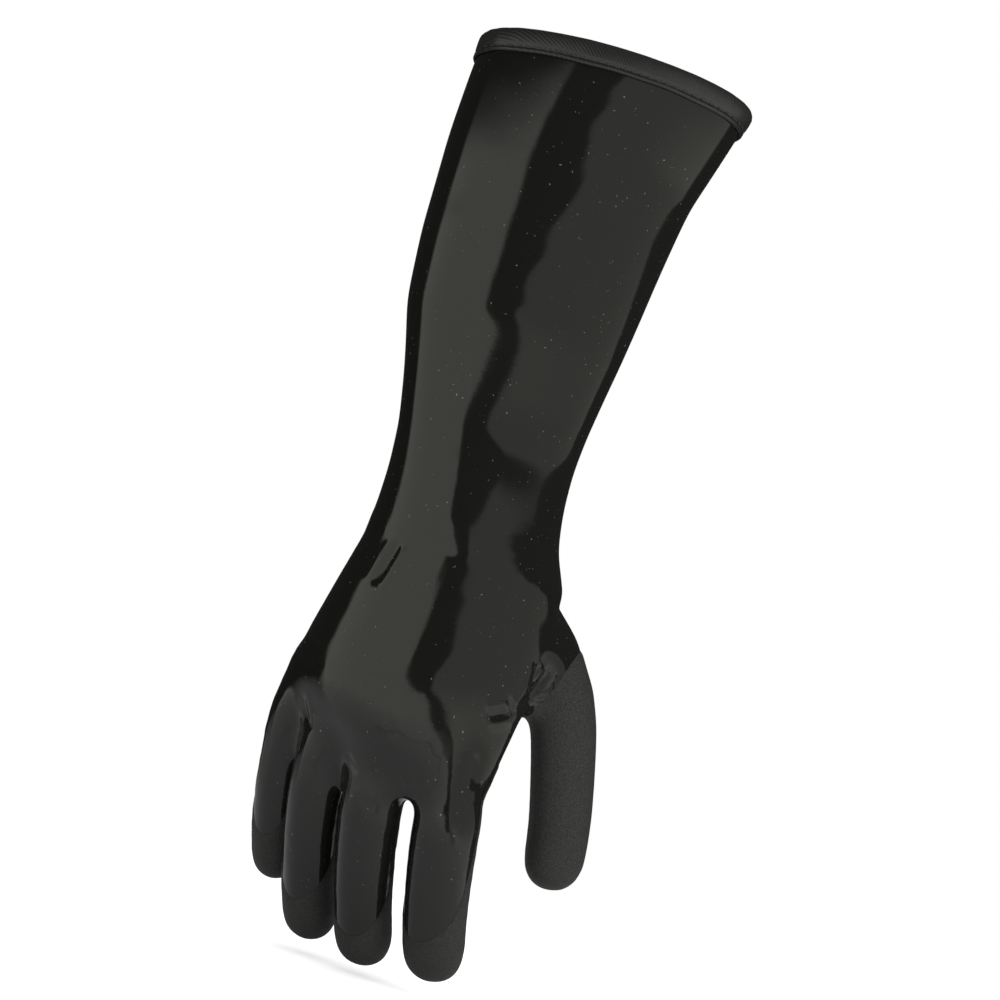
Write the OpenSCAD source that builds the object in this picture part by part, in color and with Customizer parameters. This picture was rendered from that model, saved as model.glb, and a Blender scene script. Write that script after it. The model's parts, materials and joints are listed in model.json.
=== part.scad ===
// Right-hand insulating gauntlet: a dipped rubber skin over a knitted liner, a gritty grip
// coat on the palm side, and a bound cuff. The glove hangs with its fingers down: +Z runs up
// the arm, +X points to the thumb side and +Y out of the palm. The origin is the centre of
// the cuff rim. All sizes are in millimetres.

/* [Gauntlet] */
// Width of the skin at the cuff
cuff_w = 117; // [106:1:124]
// Depth of the skin at the cuff, from back to palm
cuff_d = 80; // [72:1:88]
// Width of the skin at the wrist
wrist_w = 75.6; // [72:0.2:80]
// Depth of the skin at the wrist
wrist_d = 55; // [52:1:60]
// Length from the cuff rim to the wrist crease
gauntlet_len = 165; // [155:1:175]

/* [Hand] */
// Width of the skin across the knuckles
palm_w = 104; // [101:1:108]
// Depth of the skin at the knuckles
palm_d = 43; // [40:1:46]
// Length from the wrist crease to the web beside the index finger
palm_len = 146; // [142:1:150]
// Turn of the knuckle row about the arm
palm_yaw = 23; // [18:1:26]
// Rise of the knuckle arch
arch = 12; // [9:1:13]

/* [Layers] */
// Thickness of the dipped skin
skin_wall = 1.4; // [1:0.1:1.8]
// Thickness of the knitted liner
liner_wall = 0.8; // [0.6:0.1:1]
// Thickness of the grip coat
coat_wall = 0.5; // [0.3:0.1:0.8]
// Gap left between two neighbouring layers
play = 0.05; // [0.03:0.01:0.1]
// Room left between the liner and the skin
slack = 0.35; // [0.3:0.05:0.5]
// Distance of the grip coat's edge from the arm's axis, towards the palm
grip_edge = 4; // [2:1:7]

/* [Cuff binding] */
// Height of the binding tape on the outside
binding_h = 10; // [8:0.5:13]
// Thickness of the binding tape
tape = 0.9; // [0.7:0.1:1.2]
// Number of stitches round the cuff
stitch_count = 72; // [48:2:84]
// Length of one stitch
stitch_len = 2.6; // [1.8:0.1:3]

/* [Hidden] */

skin_colour = [0.045, 0.045, 0.04];
coat_colour = [0.11, 0.11, 0.105];
cloth_colour = [0.72, 0.69, 0.62];
tape_colour = [0.09, 0.09, 0.085];
thread_colour = [0.16, 0.16, 0.15];

TRUNK_SIDES = 32;
LIMB_SIDES = 16;
LINER_SIDES = 30;
// Where the skin of the gauntlet, of the wrist and of the hand part from each other.
wrist_top = -148;
wrist_end = -214;
// The knitted band that stays stiff between the wrist's two creases.
band_top = -175;
band_end = -184;
// How far the fingers' sockets run back into the palm, and how much they narrow on the way.
socket = 26;
sink = 4;

// ---- Trunk: a stack of oval sections, as
// [height, shift, half width, half depth, yaw, arch, slope] ----

function mix(a, b, t) = a + (b - a) * t;

// Columns: share of the gauntlet's length, shift towards the thumb, blend from cuff to wrist.
FOREARM = [
    [0, 0.5, 0], [0.09, -2, 0.07], [0.27, -6.8, 0.26], [0.51, -9, 0.41], [0.7, -9.5, 0.57],
    [0.88, -7.8, 0.86], [1, -6.2, 1]
];
// Columns: share of the palm's length, shift, blend from wrist to knuckles, share of the depth.
PALM = [
    [0.12, -5, 0, 1], [0.24, -4, 0.15, 1], [0.34, -1.8, 0.46, 1], [0.48, -4.5, 0.66, 1],
    [0.61, -7.5, 0.82, 1], [0.73, -11.5, 0.9, 0.97], [0.84, -13.5, 0.88, 0.85]
];
// The rounded end of the palm, just short of the webs.
PALM_END = [0.9, -14, 0.66, 0.5];

function forearm(c) = [
    -c[0] * gauntlet_len, c[1], mix(cuff_w, wrist_w, c[2]) / 2, mix(cuff_d, wrist_d, c[2]) / 2,
    0, 0, 0
];
function palm(c) = [
    -gauntlet_len - c[0] * palm_len, c[1], mix(wrist_w, palm_w, c[2]) / 2,
    mix(wrist_d, palm_d, c[2]) * c[3] / 2, palm_yaw * min(1, c[0] * 1.3), arch * min(1, c[0] * 1.3),
    0.28 * max(0, c[0] - 0.34) / 0.56
];
TRUNK = concat([for (c = FOREARM) forearm(c)], [for (c = PALM) palm(c)], [palm(PALM_END)]);

// One value of the trunk's sections at a height, column k.
function trunk_at(z, k) = lookup(-z, [for (s = TRUNK) [-s[0], s[k]]]);
function section(z) = [z, for (k = [1:6]) trunk_at(z, k)];

// Points of a section, grown outwards by g, from angle a0 to angle a1.
function oval(s, g, a0 = 0, a1 = 360, sides = TRUNK_SIDES) = [
    for (i = [0:(a1 - a0 < 360 ? sides : sides - 1)])
        let (
            t = a0 + (a1 - a0) * i / sides, u = (s[2] + g) * cos(t), v = (s[3] + g) * sin(t),
            lift = v - s[5] * (1 - pow(u / (s[2] + g), 2)) + s[5] / 2
        )
        [
            s[1] + u * cos(s[4]) + lift * sin(s[4]), lift * cos(s[4]) - u * sin(s[4]),
            s[0] - s[6] * u
        ]
];

// ---- Limbs: a finger or the thumb, as
// [root, yaw, lean, half width, half depth, lengths between creases, pitches] ----

// A knuckle: a share of the palm's half width, and its height above the index web.
function knuckle(share, rise) =
    let (u = share * palm_w / 2, v = arch * (pow(share, 2) - 0.5))
    [
        PALM_END[1] + u * cos(palm_yaw) + v * sin(palm_yaw),
        v * cos(palm_yaw) - u * sin(palm_yaw), -gauntlet_len - palm_len + rise
    ];

INDEX = [knuckle(0.76, 0), 18, 4.5, 13.5, 12, [12, 23, 19, 18], [8, 16, 25, 33]];
MIDDLE = [knuckle(0.15, 0), 22, 2.5, 12.8, 11.6, [12, 25, 21, 20], [11, 20, 30, 38]];
RING = [knuckle(-0.37, 7), 27, -1, 12.3, 11.3, [12, 26, 23, 22], [10, 20, 28, 36]];
LITTLE = [knuckle(-0.81, 20), 33, -4, 10.9, 10.2, [11, 24, 20, 20], [8, 16, 24, 32]];
THUMB = [
    [palm_w / 2 + 5, 10, -gauntlet_len - 0.69 * palm_len], -50, 17, 14.6, 12.8, [12, 25, 31],
    [-8, -4, 3]
];

function total(v, i = 0) = i < len(v) ? v[i] + total(v, i + 1) : 0;
function run(f, n) = total([for (i = [0:n]) f[5][i]]);
function across(f) = [cos(f[1]) * cos(f[2]), -sin(f[1]) * cos(f[2]), sin(f[2])];
function straight(f) = [cos(f[1]) * sin(f[2]), -sin(f[1]) * sin(f[2]), -cos(f[2])];
function palmward(f) = [sin(f[1]), cos(f[1]), 0];

// The limb curls a little at each crease; between creases it is straight.
CREASE = 7;
function pitch(f, s) = lookup(s, [
    for (i = [0:len(f[5]) - 2], e = [-1, 1]) [run(f, i) + e * CREASE, f[6][e < 0 ? i : i + 1]]
]);
function heading(f, s) = straight(f) * cos(pitch(f, s)) + palmward(f) * sin(pitch(f, s));
function facing(f, s) = palmward(f) * cos(pitch(f, s)) - straight(f) * sin(pitch(f, s));
STEPS = 24;
function spot(f, s) = s <= 0
    ? f[0] + heading(f, 0) * s
    : f[0] + total_of([for (i = [0.5:1:STEPS]) heading(f, s * i / STEPS) * s / STEPS]);
function total_of(v, i = 0) = i < len(v) - 1 ? v[i] + total_of(v, i + 1) : v[i];

// Size of the limb at s: a slight taper, then a blunt round end.
function bulk(f, s) =
    let (
        all = run(f, len(f[5]) - 1), nose = 1.1 * f[3],
        t = min(1, max(0, (s - all + nose) / nose))
    )
    (1 - 0.1 * max(0, s) / all) * pow(1 - pow(t, 2.4), 1 / 2.4);

function ring(f, s, g) = [
    for (i = [0:LIMB_SIDES - 1])
        let (t = 360 * i / LIMB_SIDES, k = bulk(f, s))
        spot(f, s) + across(f) * (f[3] * k + g) * cos(t) + facing(f, s) * (f[4] * k + g) * sin(t)
];

// Stations along a limb from s0 to its tip, close together in the round end.
function stations(f, s0) =
    let (all = run(f, len(f[5]) - 1), nose = 1.1 * f[3])
    concat(
        [for (i = [0:5]) mix(s0, all - nose, i / 6)],
        [for (t = [0, 0.4, 0.68, 0.87, 0.965]) all - nose * (1 - t)]
    );

// ---- Solids made from rings of points ----

function flat(v) = [for (a = v) for (b = a) b];
function band(n, rows, at, out, open = false) = [
    for (j = [0:rows - 2], i = [0:(open ? n - 2 : n - 1)])
        let (a = at + j * n + i, b = at + j * n + (i + 1) % n)
        each out ? [[a, b, b + n], [a, b + n, a + n]] : [[a, b + n, b], [a, a + n, b + n]]
];
function joining(n, a, b, open = false) = [
    for (i = [0:(open ? n - 2 : n - 1)])
        let (k = (i + 1) % n) each [[a + i, b + i, b + k], [a + i, b + k, a + k]]
];

// A tube with a wall: rings run from its top to its end. The end is open, or shut like a tip.
module tube(outer, inner, shut = false) {
    n = len(outer[0]);
    rows = len(outer);
    far = n * rows;
    last = n * (rows - 1);
    ends = shut
        ? [[for (i = [0:n - 1]) last + i], [for (i = [n - 1:-1:0]) far + last + i]]
        : joining(n, far + last, last);
    polyhedron(
        concat(flat(outer), flat(inner)),
        concat(band(n, rows, 0, true), band(n, rows, far, false), joining(n, 0, far), ends)
    );
}

// A panel: the same, but its rings are open arcs, so it has two side edges as well.
module panel(outer, inner) {
    n = len(outer[0]);
    rows = len(outer);
    far = n * rows;
    last = n * (rows - 1);
    sides = [
        for (j = [0:rows - 2]) let (a = j * n, b = a + n)
            each [
                [a, b, far + b], [a, far + b, far + a],
                [b + n - 1, a + n - 1, far + a + n - 1], [b + n - 1, far + a + n - 1, far + b + n - 1]
            ]
    ];
    polyhedron(
        concat(flat(outer), flat(inner)),
        concat(
            band(n, rows, 0, true, true), band(n, rows, far, false, true),
            joining(n, 0, far, true), joining(n, far + last, last, true), sides
        )
    );
}

// A solid stack of rings.
module stack(rings) {
    n = len(rings[0]);
    last = n * (len(rings) - 1);
    polyhedron(
        flat(rings),
        concat(
            band(n, len(rings), 0, true),
            [[for (i = [n - 1:-1:0]) i], [for (i = [0:n - 1]) last + i]]
        )
    );
}

// A stretch of limb between two stations, grown by g0 at its start and g1 at its end.
module stretch(f, s0, s1, g0, g1) {
    hull() stack([ring(f, s0, g0), ring(f, s1, g1)]);
}

// ---- Gauntlet ----

FOREARM_LEVELS = [0, -15, -45, -84, -116, -132, wrist_top];
WRIST_LEVELS = [wrist_top, -156, -165, -182, -198, wrist_end];
rim_gap = tape + play;
liner_out = -skin_wall - slack;
liner_in = liner_out - liner_wall;

// The skin stops short of the rim, where the tape folds over it.
function forearm_levels(end_gap) = [
    -rim_gap, for (i = [1:len(FOREARM_LEVELS) - 2]) FOREARM_LEVELS[i], wrist_top + end_gap
];

module gauntlet_skin() {
    levels = forearm_levels(play);
    color(skin_colour) tube(
        [for (z = levels) oval(section(z), 0)], [for (z = levels) oval(section(z), -skin_wall)]
    );
}

// Half of the gauntlet's liner: one of two panels that meet in side seams.
module gauntlet_liner(a0) {
    levels = forearm_levels(play);
    seam = 0.4;
    color(cloth_colour) panel(
        [for (z = levels) oval(section(z), liner_out, a0 + seam, a0 + 180 - seam, TRUNK_SIDES / 2)],
        [for (z = levels) oval(section(z), liner_in, a0 + seam, a0 + 180 - seam, TRUNK_SIDES / 2)]
    );
}

// Binding tape folded over the rim. Columns: growth from the skin's face, height. The crest is
// flat, so the glove can stand on its cuff.
module cuff_binding() {
    in = liner_in - play;
    fold = [
        [play, -binding_h], [tape + 0.3, -binding_h], [tape + 0.6, -binding_h / 2],
        [tape + 0.3, -1.6], [tape / 2, -0.3], [0, 0], [in, 0], [in - tape / 2, -0.3],
        [in - tape - 0.2, -1.6], [in - tape, -binding_h + 2], [in, -binding_h + 2],
        [in, -rim_gap + play], [play, -rim_gap + play]
    ];
    m = len(fold);
    n = TRUNK_SIDES;
    color(tape_colour) polyhedron(
        flat([for (p = fold) [
            for (q = oval(section(min(0, p[1])), p[0])) [q[0], q[1], p[1]]
        ]]),
        flat([for (j = [0:m - 1]) joining(n, j * n, (j + 1) % m * n)])
    );
}

// Lockstitches lie along the tape's lower edge.
module binding_stitches() {
    level = -binding_h + 1.5;
    thread_r = 0.35;
    around = oval(section(level), tape + 0.42 + thread_r + play, 0, 360, stitch_count);
    color(thread_colour) for (i = [0:stitch_count - 1])
        let (p = around[i], q = around[(i + 1) % stitch_count], way = q - p)
            translate((p + q) / 2) rotate([0, 90, atan2(way[1], way[0])])
                cylinder(r = thread_r, h = stitch_len, center = true, $fn = 6);
}

// ---- Wrist ----

module wrist_skin() {
    levels = [for (z = WRIST_LEVELS) z == wrist_end ? z + play : z];
    color(skin_colour) tube(
        [for (z = levels) oval(section(z), 0)], [for (z = levels) oval(section(z), -skin_wall)]
    );
}

module wrist_liner() {
    levels = [band_top, band_end];
    color(cloth_colour) tube(
        [for (z = levels) oval(section(z), liner_out)], [for (z = levels) oval(section(z), liner_in)]
    );
}

// ---- Hand ----

DIGITS = [INDEX, MIDDLE, RING, LITTLE];
HAND_LEVELS = [wrist_end, -227, -240, -253, -265, -277, -288];
palm_end = -gauntlet_len - PALM_END[0] * palm_len;

// A level oval in the ball of the thumb: [x, y, drop below the wrist's end, half width, half depth].
function pad(p, g, lift = 0) = [
    for (i = [0:LIMB_SIDES - 1])
        let (t = 360 * i / LIMB_SIDES, u = (p[3] + g) * cos(t), v = (p[4] + g) * sin(t), a = THUMB[1])
        [p[0] + u * cos(a) + v * sin(a), p[1] + v * cos(a) - u * sin(a), wrist_end - p[2] + lift]
];
BALL = [[26, 4, 1, 12, 10], [40, 7, 16, 14.5, 12], [51, 9, 34, 14.6, 12.8]];
WEB = [[36, 2, 22, 8, 13], [48, 7, 30, 8, 12], [36, -2, 52, 5, 5], [47, 6, 52, 5, 6]];

// The palm with its five sockets, grown by g. A core rises and runs past its ends.
module hand_form(g, top = 0, past = 0) {
    levels = concat(top > 0 ? [wrist_end + top] : [], HAND_LEVELS, [palm_end - g]);
    union() {
        stack([for (z = levels) oval(section(z), g)]);
        for (f = DIGITS) stretch(f, -socket - g, 0, g - sink, g);
        if (past > 0) for (f = concat(DIGITS, [THUMB])) stretch(f, 0, past, g, g);
        for (i = [0:2]) finger_web(DIGITS[i], DIGITS[i + 1], g);
        for (i = [0, 1]) hull() stack([pad(BALL[i], g, i == 0 ? g : 0), pad(BALL[i + 1], g)]);
        hull() stack([pad(BALL[2], g), ring(THUMB, 0, g)]);
        hull() {
            stack([pad(WEB[0], g, g), pad(WEB[1], g, g)]);
            for (p = [WEB[2], WEB[3]]) stack([pad(p - [0, 0, 3, 0, 0], g), pad(p + [0, 0, g, 0, 0], g)]);
        }
    }
}

// The web between two fingers ends just above the higher of their roots.
module finger_web(a, b, g) {
    edge = 2 - g;
    drop = b[0][2] - a[0][2];
    thin = g - 3;
    hull() {
        stack([ring(a, -drop - 14 - g, thin), ring(a, -drop - edge, thin)]);
        stack([ring(b, -14 - g, thin), ring(b, -edge, thin)]);
    }
}

module hand_skin() {
    color(skin_colour) difference() {
        hand_form(0);
        hand_form(-skin_wall, 1, 1);
    }
}

// The liner follows the palm and its sockets, without the webs.
module liner_form(g, top = 0, past = 0) {
    levels = concat(
        top > 0 ? [wrist_end + top] : [],
        [wrist_end, -229, -241, -252, -264, -275, -286, palm_end - g]
    );
    union() {
        stack([for (z = levels) oval(section(z), g - 0.1, 0, 360, LINER_SIDES)]);
        for (f = DIGITS) stretch(f, 4 - socket - g, past - 0.5, g - sink, g);
        for (i = [0, 1]) hull() stack([pad(BALL[i], g, i == 0 ? g : 0), pad(BALL[i + 1], g)]);
        hull() stack([pad(BALL[2], g), ring(THUMB, past - 0.5, g)]);
    }
}

// Half of the hand's liner, on the palm side or on the back.
module hand_liner(palm_side) {
    seam = 0.3;
    color(cloth_colour) intersection() {
        difference() {
            liner_form(liner_out);
            liner_form(liner_in, 1, 1);
        }
        rotate([0, 0, -palm_yaw])
            translate([-150, palm_side ? 0.4 + seam / 2 : -149.6 - seam / 2, -420])
                cube([300, 150, 320]);
    }
}

// The coat covers what a shallow bath reaches when the glove is lowered into it palm first.
module bath() {
    rotate([0, 0, -palm_yaw]) translate([-150, grip_edge, -420]) cube([300, 150, 202]);
}

// The thumb is dipped whole, up to a slanting line across its ball.
module thumb_bath() {
    intersection() {
        translate([palm_w / 2 + 5, 0, wrist_end - 16]) rotate([0, 21.4, 0])
            translate([0, -100, -200]) cube([200, 200, 300]);
        translate([palm_w / 2 - 9, -100, -400]) cube([100, 200, 300]);
    }
}

module palm_grip_coat() {
    color(coat_colour) intersection() {
        difference() {
            hand_form(coat_wall + play);
            hand_form(play, 1, 1);
        }
        union() {
            bath();
            thumb_bath();
        }
    }
}

// ---- Fingers and thumb ----

// A ring of the limb's shape shrunk by g; towards the round end it also draws back from the tip.
function shrunk(f, s, g) =
    let (all = run(f, len(f[5]) - 1), from = all - 1.8 * f[3], last = all - 0.04 * f[3])
    ring(f, s - g * max(0, (s - from) / (last - from)), -g);

// The same rings grown by g; the last one moves ahead of the tip.
function grown(f, at, g) = [
    for (i = [0:len(at) - 1])
        [for (p = ring(f, at[i], g)) i < len(at) - 1 ? p : p + heading(f, at[i]) * g]
];

module limb_skin(f) {
    at = stations(f, play);
    color(skin_colour) tube([for (s = at) ring(f, s, 0)], [for (s = at) shrunk(f, s, skin_wall)], true);
}

// A stretch of knitted liner between two creases, or out to the tip.
module limb_liner(f, from, to) {
    color(cloth_colour) tube(
        [for (s = [from, to]) ring(f, s, liner_out)], [for (s = [from, to]) ring(f, s, liner_in)]
    );
}

module limb_liner_tip(f, from) {
    at = concat([from], [for (s = stations(f, play)) if (s > from + 1.5) s]);
    color(cloth_colour) tube(
        [for (s = at) shrunk(f, s, -liner_out)], [for (s = at) shrunk(f, s, -liner_in)], true
    );
}

// The coat's own shell, a little longer than the skin at the tip.
module limb_coat(f) {
    at = stations(f, play);
    tube(grown(f, at, coat_wall + play), grown(f, at, play), true);
}

module finger_grip_coat(f) {
    color(coat_colour) intersection() {
        limb_coat(f);
        bath();
    }
}

module thumb_grip_coat() {
    color(coat_colour) limb_coat(THUMB);
}

// A crease takes this much of the limb on each side, where no liner is stiff.
near = 5;
wide = 7;

module base_liner(f) limb_liner(f, run(f, 0) + near, run(f, 1) - wide);
module middle_liner(f) limb_liner(f, run(f, 1) + wide - 1, run(f, 2) - near + 1);

gauntlet_skin();
gauntlet_liner(180);  // gauntlet_liner_back
gauntlet_liner(0);  // gauntlet_liner_palm
cuff_binding();
binding_stitches();
wrist_skin();
wrist_liner();
hand_skin();
palm_grip_coat();
hand_liner(false);  // hand_liner_back
hand_liner(true);  // hand_liner_palm
limb_skin(THUMB);  // thumb_skin
thumb_grip_coat();
base_liner(THUMB);  // thumb_liner_base
limb_liner_tip(THUMB, run(THUMB, 1) + near);  // thumb_liner_tip
limb_skin(INDEX);  // index_skin
finger_grip_coat(INDEX);  // index_grip_coat
base_liner(INDEX);  // index_liner_base
middle_liner(INDEX);  // index_liner_middle
limb_liner_tip(INDEX, run(INDEX, 2) + near);  // index_liner_tip
limb_skin(MIDDLE);  // middle_skin
finger_grip_coat(MIDDLE);  // middle_grip_coat
base_liner(MIDDLE);  // middle_liner_base
middle_liner(MIDDLE);  // middle_liner_middle
limb_liner_tip(MIDDLE, run(MIDDLE, 2) + near);  // middle_liner_tip
limb_skin(RING);  // ring_skin
finger_grip_coat(RING);  // ring_grip_coat
base_liner(RING);  // ring_liner_base
middle_liner(RING);  // ring_liner_middle
limb_liner_tip(RING, run(RING, 2) + near);  // ring_liner_tip
limb_skin(LITTLE);  // little_skin
finger_grip_coat(LITTLE);  // little_grip_coat
base_liner(LITTLE);  // little_liner_base
middle_liner(LITTLE);  // little_liner_middle
limb_liner_tip(LITTLE, run(LITTLE, 2) + near);  // little_liner_tip
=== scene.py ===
"""Looks of the insulating gauntlet glove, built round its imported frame. Lengths here are in mm."""

import json
import math

import bpy
import numpy as np
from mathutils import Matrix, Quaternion, Vector
from mathutils.bvhtree import BVHTree


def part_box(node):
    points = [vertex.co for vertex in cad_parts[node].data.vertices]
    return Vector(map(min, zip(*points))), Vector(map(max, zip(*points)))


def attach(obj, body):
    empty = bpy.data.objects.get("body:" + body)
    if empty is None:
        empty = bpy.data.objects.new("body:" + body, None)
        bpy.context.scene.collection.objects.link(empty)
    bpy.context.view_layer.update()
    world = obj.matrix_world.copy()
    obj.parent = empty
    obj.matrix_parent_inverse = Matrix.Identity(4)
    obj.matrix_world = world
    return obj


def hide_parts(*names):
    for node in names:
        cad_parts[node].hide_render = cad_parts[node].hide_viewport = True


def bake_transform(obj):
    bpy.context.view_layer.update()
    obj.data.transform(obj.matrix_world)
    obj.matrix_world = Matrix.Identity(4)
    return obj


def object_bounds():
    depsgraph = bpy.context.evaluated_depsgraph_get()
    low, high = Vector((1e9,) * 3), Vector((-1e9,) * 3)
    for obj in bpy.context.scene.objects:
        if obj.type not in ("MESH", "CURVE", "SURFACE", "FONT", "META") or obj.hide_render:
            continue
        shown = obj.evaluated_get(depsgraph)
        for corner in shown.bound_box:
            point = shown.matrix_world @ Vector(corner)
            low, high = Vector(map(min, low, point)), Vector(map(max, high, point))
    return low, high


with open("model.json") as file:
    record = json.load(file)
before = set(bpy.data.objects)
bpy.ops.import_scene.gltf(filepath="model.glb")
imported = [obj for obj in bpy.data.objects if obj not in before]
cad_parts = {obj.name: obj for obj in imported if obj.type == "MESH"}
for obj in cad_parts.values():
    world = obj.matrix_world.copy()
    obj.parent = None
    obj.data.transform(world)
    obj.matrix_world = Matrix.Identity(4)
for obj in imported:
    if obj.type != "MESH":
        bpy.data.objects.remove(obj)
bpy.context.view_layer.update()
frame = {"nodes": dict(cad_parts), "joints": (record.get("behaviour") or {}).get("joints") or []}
RNG = np.random.default_rng(7)

GRID = 1.25  # cell of the distance field
SKIN = 1.4  # wall thicknesses
LINER = 0.8
COAT = 0.5
GAP = 0.15  # between skin and liner
DIGITS = ["index", "middle", "ring", "little", "thumb"]
SKINS = ["gauntlet_skin", "wrist_skin", "hand_skin"] + [d + "_skin" for d in DIGITS]
JOINT = {j["name"]: j for j in frame["joints"]}


def arrays(node):
    """A CAD node's vertices in mm, and its triangles."""
    me = frame["nodes"][node].data
    me.calc_loop_triangles()
    co = np.zeros(len(me.vertices) * 3)
    me.vertices.foreach_get("co", co)
    tri = np.zeros(len(me.loop_triangles) * 3, int)
    me.loop_triangles.foreach_get("vertices", tri)
    return co.reshape(-1, 3) * 1000, tri.reshape(-1, 3)


def unit(v):
    return v / np.linalg.norm(v, axis=-1, keepdims=True)


def smooth(x, a, b):
    """From 0 at a to 1 at b, level at both ends."""
    t = np.clip((x - a) / (b - a), 0, 1)
    return t * t * (3 - 2 * t)


def hinge(name):
    """A joint's pivot in mm and its axis."""
    j = JOINT[name]
    return np.array(j["pos_m"]) * 1000, unit(np.array(j["axis"], float))


# ---- Where the digits are: centre line from the root's plane to the tip ----


def digit_line(d):
    joints = ["open", "tip_open"] if d == "thumb" else ["root_bend", "middle_bend", "tip_bend"]
    pivots = [hinge(f"{d}_{k}")[0] for k in joints]
    co, _ = arrays(d + "_skin")
    back = unit(pivots[0] - pivots[1])
    t = (co - pivots[0]) @ back
    mouth = co[t > t.max() - 7]
    mouth = mouth[np.abs((mouth - mouth.mean(0)) @ back) < 7]
    centre = mouth.mean(0)
    normal = np.linalg.svd(mouth - centre)[2][2]
    normal *= np.sign(normal @ -back)
    ahead = unit(pivots[-1] - pivots[-2])
    u = (co - pivots[-1]) @ ahead
    tip = co[u > u.max() - 0.6].mean(0)
    radius = np.linalg.norm(mouth - centre, axis=1).max()
    return {"points": np.array([centre] + pivots + [tip]), "normal": normal, "radius": radius}


LINE = {d: digit_line(d) for d in DIGITS}


def along(d, p):
    """Distance of points from a digit's centre line, and how far along it they are."""
    pts = LINE[d]["points"]
    best = np.full(len(p), 1e9)
    where = np.zeros(len(p))
    start = 0.0
    for i, (a, b) in enumerate(zip(pts[:-1], pts[1:])):
        length = np.linalg.norm(b - a)
        t = (p - a) @ (b - a) / length**2
        lo = -3.0 if i == 0 else 0.0
        t = np.clip(t, lo, 1)
        gap = np.linalg.norm(p - a - t[:, None] * (b - a), axis=1)
        nearer = gap < best
        best[nearer] = gap[nearer]
        where[nearer] = start + t[nearer] * length
        start += length
    return best, where


# ---- The outer surface as a field, so that the CAD skins merge into one smooth body ----


def spread(cells):
    """Cells and their six neighbours."""
    out = cells.copy()
    for axis in range(3):
        for shift in (1, -1):
            out |= np.roll(cells, shift, axis)
    return out


def outer_field(step):
    """Signed distance to the skins' outside on a grid: its lowest corner and its values."""
    parts = [arrays(n) for n in SKINS]
    low = np.min([p[0].min(0) for p in parts], axis=0) - 5 * step
    high = np.max([p[0].max(0) for p in parts], axis=0) + 5 * step
    shape = np.ceil((high - low) / step).astype(int)
    wall = np.zeros(shape, bool)
    for co, tri in parts:
        a, b, c = co[tri[:, 0]], co[tri[:, 1]], co[tri[:, 2]]
        longest = np.maximum(np.linalg.norm(b - a, axis=1), np.linalg.norm(c - a, axis=1))
        for count in np.unique(np.ceil(longest / (0.45 * step)).astype(int)):
            pick = np.ceil(longest / (0.45 * step)).astype(int) == count
            u, v = np.meshgrid(np.linspace(0, 1, count + 1), np.linspace(0, 1, count + 1))
            u, v = u[u + v <= 1.0001], v[u + v <= 1.0001]
            p = a[pick][:, None] + u[None, :, None] * (b - a)[pick][:, None]
            p = p + v[None, :, None] * (c - a)[pick][:, None]
            k = ((p.reshape(-1, 3) - low) / step).astype(int)
            wall[k[:, 0], k[:, 1], k[:, 2]] = True
    # A lid over the cuff keeps the outside out.
    top = parts[0][0][:, 2].max()
    k = int((top - low[2]) / step) - 1
    ring = wall[:, :, k].copy()
    rows = np.maximum.accumulate(ring, 0) & np.maximum.accumulate(ring[::-1], 0)[::-1]
    wall[:, :, k] |= rows
    outside = np.zeros(shape, bool)
    outside[0], outside[-1] = True, True
    outside[:, 0], outside[:, -1] = True, True
    outside[:, :, 0], outside[:, :, -1] = True, True
    while True:
        grown = spread(outside) & ~wall | outside
        if (grown == outside).all():
            break
        outside = grown
    verts, faces = [], []
    base = 0
    for co, tri in parts:
        a, b, c = co[tri[:, 0]], co[tri[:, 1]], co[tri[:, 2]]
        n = np.cross(b - a, c - a)
        size = np.linalg.norm(n, axis=1)
        good = size > 1e-9
        tri, n = tri[good], n[good] / size[good, None]
        probe = (co[tri].mean(1) + n * 2.1 * step - low) / step
        k = np.clip(probe.astype(int), 0, shape - 1)
        seen = outside[k[:, 0], k[:, 1], k[:, 2]]
        verts.append(co)
        faces.append(tri[seen] + base)
        base += len(co)
    tree = BVHTree.FromPolygons(np.vstack(verts).tolist(), np.vstack(faces).tolist())
    inside = ~outside
    near = inside.copy()
    far = inside.copy()
    for axis in range(3):
        for shift in (1, -1):
            near |= np.roll(inside, shift, axis) | np.roll(inside, 2 * shift, axis)
            far &= np.roll(inside, shift, axis) & np.roll(inside, 2 * shift, axis)
    value = np.where(outside, 4.0, -4.0)
    for i, j, k in np.argwhere(near & ~far):
        p = low + (np.array((i, j, k)) + 0.5) * step
        hit, n, _, gap = tree.find_nearest(p.tolist())
        if hit is None:
            continue
        side = (Vector(p) - hit).dot(n)
        sign = 1 if side > 0 else -1
        if outside[i, j, k] and not wall[i, j, k]:
            sign = 1
        value[i, j, k] = sign * min(gap, 4.0)
    # Above the cuff the walls go straight on, so that blurring doesn't round the rim off.
    last = int((top - 4 - low[2]) / step)
    lift = (value[:, :, last] - value[:, :, last - 4]) / 4
    for k in range(last + 1, shape[2]):
        value[:, :, k] = np.clip(value[:, :, last] + lift * (k - last), -4, 4)
    return low + 0.5 * step, value


def blur(value, sigma):
    """Gaussian blur with a Gaussian kernel along each axis in turn."""
    radius = max(1, int(math.ceil(3 * sigma)))
    x = np.arange(-radius, radius + 1)
    kernel = np.exp(-(x**2) / (2 * sigma**2))
    kernel /= kernel.sum()
    out = value
    for axis in range(3):
        padded = np.pad(out, [(radius, radius) if a == axis else (0, 0) for a in range(3)], "edge")
        total = np.zeros_like(out)
        for i, w in enumerate(kernel):
            cut = [slice(None)] * 3
            cut[axis] = slice(i, i + out.shape[axis])
            total += w * padded[tuple(cut)]
        out = total
    return out


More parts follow.
